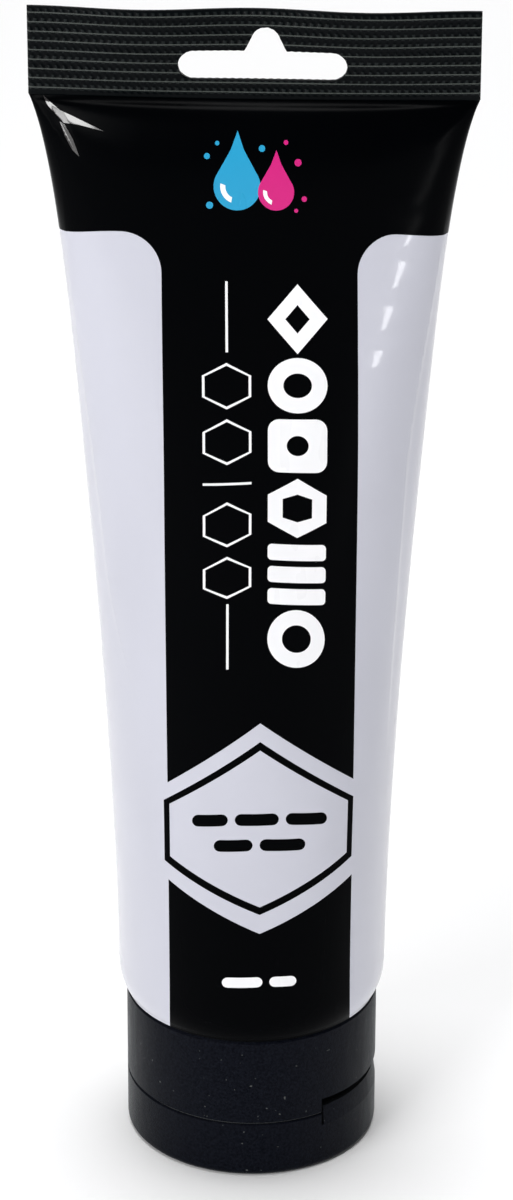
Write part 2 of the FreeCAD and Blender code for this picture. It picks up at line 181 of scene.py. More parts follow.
def smooth_section(u, z):
    """x and y of the smooth film at arc u from the middle of the front and height z."""
    col = (u / GIRTH * COLS) % COLS
    row = np.clip((z - ROWS[0]) / (ROWS[1] - ROWS[0]), 0, len(ROWS) - 1.0001)
    ci, ri = np.floor(col).astype(int), np.floor(row).astype(int)
    wc, wr = cubic_weights(col - ci), cubic_weights(row - ri)
    out = np.zeros(u.shape + (2,))
    for i in range(4):
        r = np.clip(ri + i - 1, 0, len(ROWS) - 1)
        for j in range(4):
            out += (wr[i] * wc[j])[..., None] * TABLE[r, (ci + j - 1) % COLS]
    return out


def ridge(u, z, start, end, width, height):
    """Soft ridge (or a crease when height is negative) along a line on the film, faded at both ends."""
    du, dz = end[0] - start[0], end[1] - start[1]
    length = math.hypot(du, dz)
    along = ((u - start[0]) * du + (z - start[1]) * dz) / (length * length)
    across = ((u - start[0]) * dz - (z - start[1]) * du) / length
    fade = np.where((along > 0) & (along < 1), np.sin(math.pi * np.clip(along, 0, 1)) ** 0.7, 0)
    return height * fade * np.exp(-(across / width) ** 2)


# sharp folds at the pinched corner: start, end, width at the start, height
FOLDS = (((-29.6, 164.0), (-20.6, 160.2), 2.1, 0.05), ((-28.6, 163.6), (-24.1, 156.4), 1.7, -0.30))
CREASE_WIDTH = 1.4


def fold(u, z, start, end, width, height):
    """Sharp ridge that narrows from its start to nothing at its end."""
    du, dz = end[0] - start[0], end[1] - start[1]
    length = math.hypot(du, dz)
    along = ((u - start[0]) * du + (z - start[1]) * dz) / (length * length)
    across = np.abs((u - start[0]) * dz - (z - start[1]) * du) / length
    share = np.clip(1 - along, 0, 1) * smoothstep(-0.25, 0.1, along)
    return height * share * np.clip(1 - across / (width * (0.25 + 0.75 * share) + 1e-6), 0, 1)


def side_crease(u, z, side, place, depth):
    """Sharp bend of the film along a line down one side, at distance place. The film dips just outside it."""
    beyond = np.maximum(side * u - place, 0) / CREASE_WIDTH
    return -depth * beyond * np.exp(1 - beyond)


def wrinkles(u, z):
    """Height in mm by which handling and filling have pushed the film out of its smooth shape."""
    u = (u + GIRTH / 2) % GIRTH - GIRTH / 2
    w = np.zeros(u.shape)
    # pinched corner at the upper left, where two sharp folds run out of the seal's end
    for start, end, width, height in FOLDS:
        w += fold(u, z, start, end, width, height)
    w += ridge(u, z, (29.5, 163.0), (24.0, 158.0), 1.0, 0.12)
    # row of small ripples down the right of the front
    place = 21.7 - 9.4 * (1 - smoothstep(105, 152, z))
    extent = smoothstep(125, 130, z) * (1 - smoothstep(151.5, 154, z))
    w += 0.075 * np.sin(2 * math.pi * (z - 143.9) / 6.1) * np.exp(-((u - place) / 3.2) ** 2) * extent
    # lap seam of the laminate down the middle of the back
    w += 0.09 * np.exp(-(((GIRTH / 2 - np.abs(u)) / 1.1) ** 4))
    # creases down the sides, where the flat front turns into the side. The left one starts nearer the middle.
    fade_up = 1 - smoothstep(125, 160, z)
    right_place = 23.6 + 4.6 * smoothstep(108, 150, z)
    left_place = 14.6 + 9.2 * smoothstep(58, 98, z) + 3.6 * smoothstep(90, 145, z)
    w += side_crease(u, z, 1, right_place, 0.25 * smoothstep(59, 90, z) * fade_up)
    w += side_crease(u, z, -1, left_place, 0.21 * smoothstep(62, 112, z) * fade_up)
    # long soft bows along both sides
    w += ridge(u, z, (-27.0, 150.0), (-15.0, 62.0), 3.4, 0.16)
    w += ridge(u, z, (27.5, 142.0), (19.0, 52.0), 3.0, 0.14)
    # the same on the back, in other places
    b = (u + GIRTH) % GIRTH - GIRTH / 2
    for start, end, width, height in (
            ((-28.0, 162.0), (-20.0, 150.0), 1.2, -0.35), ((27.5, 162.5), (18.0, 156.0), 1.0, 0.35),
            ((24.0, 150.0), (12.0, 96.0), 3.2, -0.25), ((-19.0, 120.0), (-12.0, 60.0), 3.6, 0.22)):
        w += ridge(b, z, start, end, width, height)
    # slack of a hand-filled tube: very shallow swells that die out at both ends
    swell = 0.05 * np.sin(u * 0.11 + z * 0.035 + 1.3) * np.sin(z * 0.061 + 0.6)
    swell += 0.035 * np.sin(u * 0.23 - z * 0.05 + 0.4)
    swell *= 1 - smoothstep(GIRTH / 2 - 16, GIRTH / 2 - 3, np.abs(u))
    return w + swell * smoothstep(SHRINK_TOP, 50, z) * (1 - smoothstep(150, SEAL_LOW, z))


def seal_bend(x, t):
    """How far back the fin stands at x, from t = 0 at its foot to t = 1 at its top edge."""
    xi = np.clip(x / SEAL_HALF, -1, 1)
    foot = -1.1 * (1 - xi ** 2)
    top = -1.5 * np.sin(math.pi * xi) ** 2 - 0.2
    return foot + (top - foot) * t


TWIST = math.radians(-1.9)             # the seal is turned a little against the cap


def twisted(p, share):
    """Points turned about Z by their share of the seal's twist."""
    angle = TWIST * share
    c, s = np.cos(angle), np.sin(angle)
    x = p[..., 0] * c - p[..., 1] * s
    y = p[..., 0] * s + p[..., 1] * c
    return np.stack([x, y, p[..., 2]], axis=-1)


def film_bare(u, z, out):
    """Film without wrinkles, moved out along the section by out."""
    xy = smooth_section(u, z)
    ahead = smooth_section(u + 0.05, z)
    behind = smooth_section(u - 0.05, z)
    tangent = ahead - behind
    tangent /= np.linalg.norm(tangent, axis=-1, keepdims=True) + 1e-12
    xy = xy + np.stack([tangent[..., 1], -tangent[..., 0]], axis=-1) * out[..., None]
    bend = seal_bend(xy[..., 0], 0.0) * smoothstep(140, SEAL_LOW, z) ** 2
    return np.stack([xy[..., 0], xy[..., 1] + bend, z], axis=-1)


def film(u, z):
    """Points of the film's outside in mm. The wrinkles fade out at the seal and over the tube head."""
    u, z = np.asarray(u, dtype=float), np.asarray(z, dtype=float)
    fade = (1 - smoothstep(SEAL_LOW - 3.5, SEAL_LOW - 0.2, z)) * smoothstep(SHRINK_TOP - 4, SHRINK_TOP + 4, z)
    p = film_bare(u, z, wrinkles(u, z) * fade)
    return twisted(p, smoothstep(110, SEAL_LOW, z))


def film_normals(u, z):
    h = 0.06
    z_high, z_low = np.minimum(z + h, SEAL_LOW), np.maximum(z - h, SLEEVE_LOW)
    across = film(u + h, z) - film(u - h, z)
    up = film(u, z_high) - film(u, z_low)
    n = np.cross(across, up)
    return n / (np.linalg.norm(n, axis=-1, keepdims=True) + 1e-12)


# ======================================================================= printed artwork

ART_U = 1.15                           # the artwork sits a little to the right of the film's middle


def level(u, z):
    """Height on the film of a line that looks level from the front: it drops a little towards the sides."""
    bow = 0.0105 * (1 - smoothstep(90, 146, z))
    return z - bow * (u - ART_U) ** 2


def art(points):
    return [(u, float(level(u, z))) for u, z in points]


def refined(points, step=0.6):
    """The same closed outline with points no further apart than step."""
    out = []
    for (u0, z0), (u1, z1) in zip(points, points[1:] + points[:1]):
        n = max(1, math.ceil(math.hypot(u1 - u0, z1 - z0) / step))
        out += [(u0 + (u1 - u0) * k / n, z0 + (z1 - z0) * k / n) for k in range(n)]
    return out


def band_edge(side, z):
    """u of the centre band's edge at height z. Where the film shrinks in, the edge still looks straight."""
    u = -12.65 - 0.003 * (141 - z) if side < 0 else 14.7 + 0.0145 * (141 - z)
    shrink = section(z)[0] / R if z < SHRINK_TOP else 1.0
    return R * math.asin(min(1.0, math.sin(u / R) / shrink))


CHEVRON_SIDE_HIGH, CHEVRON_TOP = 66.9, 75.75
CHEVRON_SIDE_LOW, CHEVRON_BOTTOM = 51.1, 42.1
BACK_EDGE = GIRTH / 2 - 13.5


def panel_top(distance):
    """Height of the panels' top edge at a distance from the front's middle. From the front it looks level."""
    return 146.85 - 2.15 * float(smoothstep(17.5, 33, distance))


def side_panel(side):
    """Pale panel beside the centre band: round corner at the top, and it runs round to the back."""
    r = 5.4
    u_in = band_edge(side, 141)
    corner = []
    for a in np.linspace(0, math.pi / 2, 13):
        u = u_in + side * (r - r * math.cos(a))
        corner.append((u, panel_top(abs(u)) - r + r * math.sin(a)))
    far_top = []
    for d in np.arange(19.0 if side < 0 else 21.0, BACK_EDGE - 6, 1.0):
        far_top.append((side * d, panel_top(min(d, GIRTH / 2 - d))))
    back_z = far_top[-1][1]
    back = [(side * (BACK_EDGE - r + r * math.sin(a)), back_z - r + r * math.cos(a))
            for a in np.linspace(0, math.pi / 2, 9)]
    bottom = SLEEVE_LOW - 1.0
    inner = [(band_edge(side, z), z) for z in [*np.linspace(bottom, 31, 14), *np.linspace(36, 140.0, 16)]]
    return refined(inner + corner + far_top + back + [(side * BACK_EDGE, bottom)])


def chevron_zone():
    """Pale field that joins the two panels round the hexagon."""
    left, right = band_edge(-1, 60) - 0.6, band_edge(1, 60) + 0.6
    low, high = CHEVRON_SIDE_LOW + 0.4, CHEVRON_SIDE_HIGH - 0.4
    return refined(art([(left, low), (ART_U, CHEVRON_BOTTOM), (right, low),
                        (right, high), (ART_U, CHEVRON_TOP), (left, high)]), 0.8)


def hexagon(half_width, side_high, top, side_low, bottom):
    """Upright hexagon round the artwork's middle line."""
    left, right = ART_U - half_width, ART_U + half_width
    return refined(art([(left, side_low), (ART_U, bottom), (right, side_low),
                        (right, side_high), (ART_U, top), (left, side_high)]), 0.8)


def pill(u0, u1, z, height):
    """Level bar with round ends."""
    r = height / 2
    ends = arc(u1 - r, 0, r, -90, 90, 8) + arc(u0 + r, 0, r, 90, 270, 8)
    return art([(u, z + dz) for u, dz in ends])


def diamond(u, z, half_width, half_height):
    corners = [(u - half_width, z), (u, z - half_height), (u + half_width, z), (u, z + half_height)]
    return refined(art(corners), 0.9)


def ellipse(u, z, half_width, half_height):
    return art([(u + half_width * math.cos(a), z + half_height * math.sin(a))
                for a in np.linspace(0, 2 * math.pi, 45)[:-1]])


def rounded_box(u0, u1, z0, z1, r):
    points = []
    for cu, cz, start in ((u1 - r, z0 + r, -90), (u1 - r, z1 - r, 0),
                          (u0 + r, z1 - r, 90), (u0 + r, z0 + r, 180)):
        points += arc(cu, cz, r, start, start + 90, 6)
    return refined(art(points), 0.9)


def drop(u, z, r):
    """Round paint drop with a pointed tip above."""
    tip = 2.25 * r
    round_part = arc(u, z, r, -215, 35, 30)
    return round_part + [(u + 0.28 * r, z + 0.67 * tip), (u, z + tip), (u - 0.28 * r, z + 0.67 * tip)]


def disc(u, z, r):
    return arc(u, z, r, 0, 330, 11)


def shine(u, z, r):
    """Curved highlight mark inside a drop."""
    return arc(u, z, 0.72 * r, 170, 250, 8) + arc(u, z, 0.5 * r, 245, 175, 8)


def hexagon_cell(u0, u1, z0, z1, inset):
    """Small upright hexagon between two heights, drawn in by inset."""
    middle, cut = (u0 + u1) / 2, 0.27 * (z1 - z0)
    u0, u1 = u0 + inset, u1 - inset
    low, high = z0 + 1.1 * inset, z1 - 1.1 * inset
    return refined(art([(u0, z0 + cut + 0.3 * inset), (middle, low), (u1, z0 + cut + 0.3 * inset),
                        (u1, z1 - cut - 0.3 * inset), (middle, high), (u0, z1 - cut - 0.3 * inset)]), 0.9)


BLACK, PALE, WHITE, CYAN, PINK, CREASE, EDGE = range(7)


# facets of the pinched corner that catch the light. They get the glossier crease ink, whose colour is lighter
# than the black ink: a painted highlight
CREASE_FACETS = (((-29.3, 164.1), (-26.9, 162.5), (-25.2, 161.95), (-20.6, 160.25),
                  (-24.4, 160.9), (-26.4, 160.9), (-27.6, 162.0), (-28.6, 162.9)),
                 ((-27.0, 161.0), (-26.3, 160.7), (-25.1, 158.9),
                  (-24.2, 156.6), (-25.2, 157.4), (-26.3, 159.2)))


def artwork():
    """(outline, ink) pairs. A later one is printed over an earlier one."""
    items = [(side_panel(-1), PALE), (side_panel(1), PALE), (chevron_zone(), PALE)]
    items += [(hexagon(14.75, 64.0, 72.85, 54.2, 45.2), BLACK),
              (hexagon(13.75, 63.35, 71.5, 54.85, 46.45), PALE)]
    for u0, u1 in ((-8.9, -3.5), (-2.5, 3.9), (4.9, 11.3)):
        items.append((pill(u0, u1, 60.6, 1.9), BLACK))
    for u0, u1 in ((-5.6, 0.1), (1.1, 7.9)):
        items.append((pill(u0, u1, 56.5, 1.9), BLACK))
    for u0, u1 in ((-4.4, 1.6), (2.6, 6.7)):
        items.append((pill(u0, u1, 34.1, 1.7), WHITE))
    u0, u1 = 2.1, 10.5
    middle, r = (u0 + u1) / 2, (u1 - u0) / 2
    for outline, ink in (
            (diamond(middle, 135.4, r, 4.9), WHITE), (diamond(middle, 135.4, 1.7, 2.0), BLACK),
            (ellipse(middle, 126.0, r, 3.95), WHITE), (ellipse(middle, 126.0, 2.0, 1.75), BLACK),
            (rounded_box(u0, u1, 113.5, 121.2, 1.6), WHITE), (ellipse(middle, 117.35, 1.55, 1.45), BLACK),
            (hexagon_cell(u0, u1, 103.9, 112.6, 0.0), WHITE),
            (hexagon_cell(u0, u1, 103.9, 112.6, 2.1), BLACK),
            (rounded_box(u0, u1, 100.6, 103.0, 0.6), WHITE), (rounded_box(u0, u1, 97.3, 99.7, 0.6), WHITE),
            (rounded_box(u0, u1, 94.0, 96.4, 0.6), WHITE),
            (ellipse(middle, 88.7, r, 4.4), WHITE), (ellipse(middle, 88.7, 2.1, 2.1), BLACK)):
        items.append((outline, ink))
    for z0, z1 in ((130.7, 140.6), (84.2, 94.1)):
        items.append((refined(art([(-3.75, z0), (-3.4, z0), (-3.4, z1), (-3.75, z1)]), 1.5), WHITE))
    for z0, z1 in ((122.6, 129.2), (114.6, 121.2), (102.6, 109.2), (94.9, 101.2)):
        items.append((hexagon_cell(-7.1, -0.2, z0, z1, 0.0), WHITE))
        items.append((hexagon_cell(-7.1, -0.2, z0, z1, 0.36), BLACK))
    items.append((refined(art([(-7.1, 111.75), (-0.2, 111.75), (-0.2, 112.1), (-7.1, 112.1)]), 1.5), WHITE))
    for facet in CREASE_FACETS:
        items.append((refined(list(facet), 0.5), CREASE))
    items += [(drop(-2.1, 153.6, 3.25), CYAN), (drop(3.3, 152.9, 2.5), PINK)]
    items += [(shine(-2.1, 153.6, 3.25), WHITE), (shine(3.3, 152.9, 2.5), WHITE)]
    for u, z, r, ink in ((-6.3, 157.6, 0.42, CYAN), (-5.9, 151.0, 0.5, CYAN), (-4.9, 159.3, 0.3, CYAN),
                         (1.3, 158.7, 0.45, CYAN), (6.3, 156.9, 0.5, PINK), (4.6, 159.5, 0.32, PINK),
                         (7.2, 152.0, 0.38, PINK), (6.1, 150.4, 0.28, PINK)):
        items.append((disc(u, z, r), ink))
    return items


# ======================================================================= materials

def material(name, color, roughness, **sockets):
    """Principled material. Returns it with its node tree and shader."""
    mat = bpy.data.materials.new(name)
    mat.use_nodes = True
    tree = mat.node_tree
    shader = tree.nodes["Principled BSDF"]
    shader.inputs["Base Color"].default_value = (*color, 1)
    shader.inputs["Roughness"].default_value = roughness
    for key, value in sockets.items():
        shader.inputs[key.replace("_", " ")].default_value = value
    return mat, tree, shader


def noise(tree, scale, detail=2.0, roughness=0.5, stretch=None):
    """Noise in object coordinates. scale is in features per metre."""
    coords = tree.nodes.new("ShaderNodeTexCoord")
    tex = tree.nodes.new("ShaderNodeTexNoise")
    tex.inputs["Scale"].default_value = scale
    tex.inputs["Detail"].default_value = detail
    tex.inputs["Roughness"].default_value = roughness
    if stretch:
        mapping = tree.nodes.new("ShaderNodeMapping")
        mapping.inputs["Scale"].default_value = stretch
        tree.links.new(coords.outputs["Object"], mapping.inputs["Vector"])
        tree.links.new(mapping.outputs["Vector"], tex.inputs["Vector"])
    else:
        tree.links.new(coords.outputs["Object"], tex.inputs["Vector"])
    return tex.outputs["Fac"]


def remap(tree, value, low, high, to_low, to_high):
    node = tree.nodes.new("ShaderNodeMapRange")
    for key, number in zip(("From Min", "From Max", "To Min", "To Max"), (low, high, to_low, to_high)):
        node.inputs[key].default_value = number
    tree.links.new(value, node.inputs["Value"])
    return node.outputs["Result"]


def mixed(tree, factor, color_a, color_b):
    node = tree.nodes.new("ShaderNodeMix")
    node.data_type = "RGBA"
    node.inputs["A"].default_value = (*color_a, 1)
    node.inputs["B"].default_value = (*color_b, 1)
    tree.links.new(factor, node.inputs["Factor"])
    return node.outputs["Result"]


def bump(tree, shader, height, strength, distance):
    node = tree.nodes.new("ShaderNodeBump")
    node.inputs["Strength"].default_value = strength
    node.inputs["Distance"].default_value = distance
    tree.links.new(height, node.inputs["Height"])
    tree.links.new(node.outputs["Normal"], shader.inputs["Normal"])


def ink_material(name, color, roughness, specular, coat=0.0):
    """Ink on film under lacquer: even colour, faint orange peel and slightly uneven gloss."""
    mat, tree, shader = material(name, color, roughness, Specular_IOR_Level=specular, Coat_Weight=coat,
                                 Coat_Roughness=0.08)
    haze = noise(tree, 420, 1, 0.4, (1, 1, 0.3))
    gloss = remap(tree, haze, 0.2, 0.8, roughness - 0.02, roughness + 0.03)
    tree.links.new(gloss, shader.inputs["Roughness"])
    tint = remap(tree, noise(tree, 60, 2, 0.5, (1, 1, 0.4)), 0.3, 0.7, 0, 1)
    tree.links.new(mixed(tree, tint, [c * 0.97 for c in color], [min(1.0, c * 1.03) for c in color]),
                   shader.inputs["Base Color"])
    bump(tree, shader, noise(tree, 2600, 2, 0.5), 0.12, 0.00002)
    return mat


def grained_plastic(name, dark, light, roughness, specular, sheen=0.0):
    """Moulded plastic with a fine spark-eroded grain, faint rub marks and a few pale specks of dust."""
    mat, tree, shader = material(name, dark, roughness, Specular_IOR_Level=specular, Sheen_Weight=sheen,
                                 Sheen_Roughness=0.35)
    shader.inputs["Sheen Tint"].default_value = (0.75, 0.78, 0.78, 1)
    fine = noise(tree, 2700, 3, 0.7)
    base = mixed(tree, remap(tree, fine, 0.36, 0.66, 0, 1), dark, light)
    speck = remap(tree, noise(tree, 1500, 1, 0.3), 0.775, 0.81, 0, 1)
    dusty = tree.nodes.new("ShaderNodeMix")
    dusty.data_type = "RGBA"
    dusty.inputs["B"].default_value = (0.085, 0.09, 0.09, 1)
    tree.links.new(base, dusty.inputs["A"])
    tree.links.new(speck, dusty.inputs["Factor"])
    tree.links.new(dusty.outputs["Result"], shader.inputs["Base Color"])
    rub = noise(tree, 700, 3, 0.6, (1, 1, 0.3))
    tree.links.new(remap(tree, rub, 0.3, 0.7, roughness - 0.07, roughness + 0.09), shader.inputs["Roughness"])
    bump(tree, shader, noise(tree, 5200, 2, 0.6), 0.6, 0.00007)
    return mat


ink_black = ink_material("ink_black", (0.0005, 0.0007, 0.0011), 0.23, 0.018)
ink_pale = ink_material("ink_pale_lavender", (0.55, 0.555, 0.63), 0.32, 0.4, 0.6)
ink_white = ink_material("ink_white", (0.90, 0.90, 0.92), 0.28, 0.4)
ink_cyan = ink_material("ink_cyan", (0.02, 0.33, 0.58), 0.28, 0.3)
ink_pink = ink_material("ink_pink", (0.62, 0.015, 0.20), 0.28, 0.3)
film_edge = ink_material("film_cut_edge", (0.03, 0.03, 0.033), 0.4, 0.2)
# crease facets: glossier lacquer than the black ink, and a lighter colour that is painted highlight
crease_gloss_painted_highlight = ink_material("crease_gloss_painted_highlight", (0.030, 0.028, 0.028), 0.12, 0.6, 1.0)
seal_black = ink_material("seal_black", (0.0012, 0.0020, 0.0026), 0.34, 0.05)
# lighter copies of the seal's black for the bead flanks and rib crests: painted highlights
seal_bead_painted_highlight = ink_material("seal_bead_painted_highlight", (0.0070, 0.0095, 0.0100), 0.32, 0.12)
seal_crest_painted_highlight = ink_material("seal_crest_painted_highlight", (0.056, 0.064, 0.058), 0.36, 0.25)
cap_plastic = grained_plastic("cap_plastic", (0.0006, 0.0010, 0.0034), (0.0058, 0.0072, 0.0122), 0.46, 0.03,
                              sheen=0.27)
head_plastic = grained_plastic("head_plastic", (0.008, 0.008, 0.010), (0.014, 0.014, 0.016), 0.45, 0.3)


def make_paint():
    """Wet white paste with soft swirls."""
    mat, tree, shader = material("white_paste", (0.86, 0.86, 0.87), 0.22, Specular_IOR_Level=0.5)
    swirl = noise(tree, 120, 3, 0.6, (1, 1, 2.5))
    tree.links.new(mixed(tree, remap(tree, swirl, 0.3, 0.7, 0, 1), (0.80, 0.80, 0.82), (0.90, 0.90, 0.90)),
                   shader.inputs["Base Color"])
    bump(tree, shader, swirl, 0.5, 0.0006)
    return mat


def make_foil():
    """Bright aluminium foil with the fine dimples of the heat-seal jaw."""
    mat, tree, shader = material("seal_foil", (0.80, 0.81, 0.82), 0.28, Metallic=1.0)
    dimple = tree.nodes.new("ShaderNodeTexVoronoi")
    dimple.inputs["Scale"].default_value = 1100
    dimple.inputs["Randomness"].default_value = 0.25
    coords = tree.nodes.new("ShaderNodeTexCoord")
    tree.links.new(coords.outputs["Object"], dimple.inputs["Vector"])
    tree.links.new(remap(tree, noise(tree, 300, 3), 0.3, 0.7, 0.2, 0.38), shader.inputs["Roughness"])
    bump(tree, shader, dimple.outputs["Distance"], 0.6, 0.0002)
    return mat


def make_tab_film():
    """Cloudy polyester film of the pull tab, with drawn streaks."""
    mat, tree, shader = material("tab_film", (0.80, 0.83, 0.86), 0.25, Specular_IOR_Level=0.5, Alpha=0.75)
    streak = noise(tree, 500, 3, 0.5, (1, 0.15, 1))
    tree.links.new(mixed(tree, streak, (0.72, 0.76, 0.80), (0.88, 0.90, 0.92)), shader.inputs["Base Color"])
    bump(tree, shader, streak, 0.3, 0.0001)
    return mat


paint, foil, tab_film = make_paint(), make_foil(), make_tab_film()


# ======================================================================= sleeve

def make_sleeve():
    """Printed film as one closed skin. The artwork is cut into it exactly, so each ink has crisp edges."""
    half = GIRTH / 2
    xs = np.linspace(-half, half, 349)
    zs = np.linspace(SLEEVE_LOW, SEAL_LOW, 245)
    items = artwork()
    outlines = [[(min(max(u, -half), half), min(max(z, SLEEVE_LOW), SEAL_LOW)) for u, z in outline]
                for outline, _ in items]
    flat, tris, owners = triangulate(xs.tolist(), zs.tolist(), outlines)
    inks = [items[max(o)][1] if o else BLACK for o in owners]
    # join the two edges of the flat sheet down the middle of the back
    seam_left = {round(z, 4): i for i, (u, z) in enumerate(flat) if u < -half + 1e-6}
    swap = np.arange(len(flat))
    for i, (u, z) in enumerate(flat):
        if u > half - 1e-6 and round(z, 4) in seam_left:
            swap[i] = seam_left[round(z, 4)]
    tris = swap[tris]
    used = np.unique(tris)
    index = np.full(len(flat), -1)
    index[used] = np.arange(len(used))
    tris, flat = index[tris], flat[used]
    verts = film(flat[:, 0], flat[:, 1])
    normals = film_normals(flat[:, 0], flat[:, 1])
    # turned-in lower edge: the film's thickness, and a short way up its inside
    order = np.argsort(flat[:, 0])
    rim = [int(i) for i in order if flat[i, 1] < SLEEVE_LOW + 1e-6]
    count, verts, normals = len(rim), verts.tolist(), normals.tolist()
    faces, inks = tris.tolist(), list(inks)
    previous = rim
    for inset, height in ((FILM, 0.0), (FILM, 2.2)):
        ring = []
        for i in rim:
            x, y, z = verts[i]
            shrink = 1 - inset / math.hypot(x, y)
            ring.append(len(verts))
            verts.append([x * shrink, y * shrink, SLEEVE_LOW + height])
            normals.append([-x / R, -y / R, 0])
        for k in range(count):
            j = (k + 1) % count
            faces.append([previous[j], previous[k], ring[k], ring[j]])
            inks.append(EDGE)
        previous = ring
    skins = [ink_black, ink_pale, ink_white, ink_cyan, ink_pink, crease_gloss_painted_highlight, film_edge]
    return new_object("printed_sleeve", verts, faces, skins, inks, normals)


sleeve = make_sleeve()
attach(sleeve, "tube")
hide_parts("tube_sleeve")


# ======================================================================= crimped tail seal

def slot_outline():
    """Hang slot: two wings with round ends and a bell over the middle."""
    x0, low, r = 1.2, 167.0, 2.1
    half, high = 23.4 / 2 - r, low + 4.2
    bell = x0 + 0.4
    points = arc(x0 + half, low + r, r, -90, 90, 14)
    points += [(bell + 2.95, high), (bell + 2.75, high + 0.25), (bell + 2.35, high + 1.1)]
    points += arc(bell, SEAL_HIGH - 2.5 - 2.05, 2.05, 15, 165, 14)
    points += [(bell - 2.35, high + 1.1), (bell - 2.75, high + 0.25), (bell - 2.95, high)]
    points += arc(x0 - half, low + r, r, 90, 270, 14)
    return refined(points, 0.35)


RIB_ROWS, RIB_PITCH = 9, 1.36
RIB_FOOT = SEAL_LOW + 0.45
RIB_STEPS = (0.0, 0.13, 0.25, 0.35, 0.42, 0.47, 0.53, 0.58, 0.65, 0.75, 0.87)
BEAD_PITCH = 1.06


def bead_phase(x, z):
    """Place along the chain of beads between two ribs. Every other row leans the other way."""
    p = (z - RIB_FOOT) / RIB_PITCH
    row = np.floor(p)
    lean = np.where(row % 2 == 0, 1.0, -1.0)
    return x / BEAD_PITCH + 0.32 * lean * (p - row - 0.5) + 0.37 * row


def crimp(x, z):
    """Height of the jaw's knurl: level ribs with beads pressed in between them."""
    p = (z - RIB_FOOT) / RIB_PITCH
    row = np.floor(p)
    f = p - row
    rib = np.exp(-((f - 0.5) / 0.12) ** 2)
    bead = 0.5 + 0.5 * np.cos(2 * math.pi * bead_phase(x, z))
    between = (1 - rib) * np.sin(math.pi * np.clip(np.abs(f - 0.5) * 2, 0, 1))
    inside = smoothstep(0, 0.35, p) * (1 - smoothstep(RIB_ROWS - 0.35, RIB_ROWS, p))
    uneven = 0.8 + 0.2 * np.sin(x * 0.31 + row * 1.7)
    return (0.32 * rib + 0.26 * bead * between) * inside * uneven


def make_seal():
    """Fin of two welded layers. Front and back carry the knurl, and the cut edges are closed."""
    xs = np.linspace(-SEAL_HALF, SEAL_HALF, 415).tolist()
    top_rib = RIB_FOOT + RIB_ROWS * RIB_PITCH
    zs = [SEAL_LOW, SEAL_LOW + 0.22]
    zs += [RIB_FOOT + (row + step) * RIB_PITCH for row in range(RIB_ROWS) for step in RIB_STEPS]
    zs += [top_rib, (top_rib + SEAL_HIGH) / 2, SEAL_HIGH]
    flat, tris, owners = triangulate(xs, zs, [slot_outline()])
    tris = tris[[not o for o in owners]]
    used = np.unique(tris)
    index = np.full(len(flat), -1)
    index[used] = np.arange(len(used))
    tris, flat = index[tris], flat[used]
    x, z = flat[:, 0], flat[:, 1]
    edge = np.minimum.reduce([x + SEAL_HALF, SEAL_HALF - x, SEAL_HIGH - z])
    half = FILM * (0.55 + 0.45 * smoothstep(0, 0.35, edge))
    t = (z - SEAL_LOW) / (SEAL_HIGH - SEAL_LOW)
    middle = seal_bend(x, t)
    knurl = crimp(x, z) * smoothstep(0, 0.4, edge)

    def side(sign):
        # the jaws mesh, so a rib that stands out at the front is a groove at the back
        y = middle + sign * half - (knurl - 0.1) * 0.8
        return twisted(np.stack([x, y, z], axis=-1), 1.0)

    front, back = side(-1), side(1)
    edges = {}
    for tri in tris.tolist():
        for a, b in zip(tri, tri[1:] + tri[:1]):
            if (b, a) in edges:
                del edges[(b, a)]
            else:
                edges[(a, b)] = True
    n = len(flat)
    faces = [(a, b, c) for a, b, c in tris.tolist()]
    faces += [(c + n, b + n, a + n) for a, b, c in tris.tolist()]
    faces += [(b, a, a + n, b + n) for a, b in edges]
    verts = np.concatenate([front, back])
    centre = flat[tris].mean(axis=1)
    f = (centre[:, 1] - RIB_FOOT) / RIB_PITCH % 1.0
    row = np.floor((centre[:, 1] - RIB_FOOT) / RIB_PITCH)
    chain = np.cos(2 * math.pi * bead_phase(centre[:, 0], centre[:, 1]))
    knurled = (centre[:, 1] > RIB_FOOT) & (centre[:, 1] < top_rib)
    # painted highlights: faces on the rib crests and on the upper flanks of the beads get the lighter seal
    # materials. clear sets where the bead highlights are painted: most along the bottom row and in patches
    # elsewhere
    clear = np.where(row == 0, 0.9, 0.45 * np.sin(centre[:, 0] * 0.16 + row * 1.9) + 0.25 * np.sin(row * 2.7))
    skin = np.zeros(len(tris), dtype=int)
    skin[(f > 0.62) & (f < 0.84) & (chain > 0.55 - 0.6 * clear) & knurled] = 1
    skin[(f > 0.22) & (f < 0.38) & (chain < 0.6 * clear - 0.6) & knurled] = 1
    skin[(np.abs(f - 0.5) < 0.125) & (chain > 0.1 - 0.5 * clear) & knurled] = 1
    skin[(np.abs(f - 0.5) < 0.055) & knurled] = 2
    skin = skin.tolist()
    return new_object("crimped_tail_seal", verts, faces, [seal_black, seal_bead_painted_highlight, seal_crest_painted_highlight],
                      skin + skin + [0] * len(edges))


seal = make_seal()
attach(seal, "tube")
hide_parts("tail_seal")


# ======================================================================= living hinge

HINGE_TURN = math.radians(156.0)                    # direction of the hinge, opposite the thumb pocket
HINGE_FLAT, BAND_THICKNESS, NOTCH = 17.9, 0.35, 0.175


